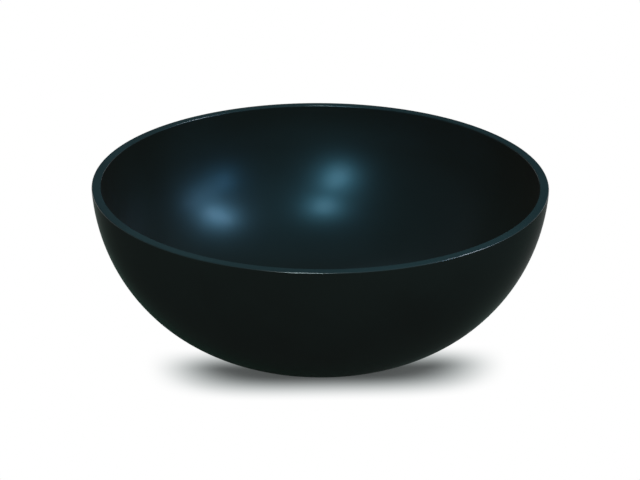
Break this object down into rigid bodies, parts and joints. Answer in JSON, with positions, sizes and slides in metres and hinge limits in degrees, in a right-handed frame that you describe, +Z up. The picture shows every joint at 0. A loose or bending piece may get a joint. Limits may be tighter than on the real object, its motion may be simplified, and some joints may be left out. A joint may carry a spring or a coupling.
{
  "type": "serving bowl",
  "caption": "Round open serving bowl with a smooth rounded wall, a flat-cut rim and a moulded foot that holds a soft non-slip ring.",
  "frame": {"origin": "on the bowl's axis, in the plane of the table that it stands on, at the non-slip ring's lower face", "axes": "+Z up along the bowl's axis, from the foot to the rim; the bowl is round, so +X and +Y are any two square directions"},
  "size_m": [0.2498, 0.2498, 0.096],
  "materials": {
    "shell": "satin black moulded plastic with a slight teal cast",
    "ring": "matt black silicone rubber"
  },
  "bodies": {
    "root": {"bowl_shell": "shell", "non_slip_ring": "ring"}
  },
  "joints": []
}
